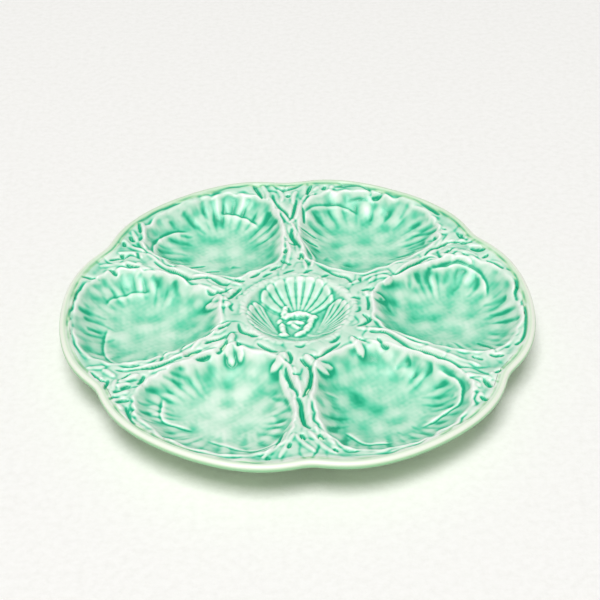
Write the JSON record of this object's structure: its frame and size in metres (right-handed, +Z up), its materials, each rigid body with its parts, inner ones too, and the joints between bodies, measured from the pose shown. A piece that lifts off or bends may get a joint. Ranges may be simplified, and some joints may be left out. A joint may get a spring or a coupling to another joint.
{
  "type": "oyster plate",
  "caption": "Round lobed oyster plate with pleated shell-shaped wells around a small centre cup, seaweed relief on the ridges between them, a rolled rim and a foot ring.",
  "frame": {"origin": "centre of the foot ring's underside, where the plate rests", "axes": "+Z up through the middle of the plate, +X through the middle of one well, +Y towards a notch between two wells"},
  "size_m": [0.25, 0.2432, 0.024],
  "materials": {
    "celadon_glaze": "glossy, translucent mint green glaze that pools darker in the hollows",
    "relief_glaze": "glossy mint glaze that runs thin and pale over raised relief",
    "rim_glaze": "glossy pale cream-green glaze over a smooth rolled edge",
    "biscuit": "matt, wiped unglazed earthenware"
  },
  "bodies": {
    "root": {"plate_body": "celadon_glaze", "foot_ring": "biscuit", "rolled_rim": "rim_glaze", "centre_ring": "relief_glaze", "centre_sprig": "relief_glaze", "oyster_shell_1": "celadon_glaze", "oyster_shell_2": "celadon_glaze", "oyster_shell_3": "celadon_glaze", "oyster_shell_4": "celadon_glaze", "oyster_shell_5": "celadon_glaze", "oyster_shell_6": "celadon_glaze", "seaweed_1": "relief_glaze", "seaweed_2": "relief_glaze", "seaweed_3": "relief_glaze", "seaweed_4": "relief_glaze", "seaweed_5": "relief_glaze", "seaweed_6": "relief_glaze", "scallop_back": "relief_glaze", "scallop_left": "relief_glaze", "scallop_right": "relief_glaze"}
  },
  "joints": []
}
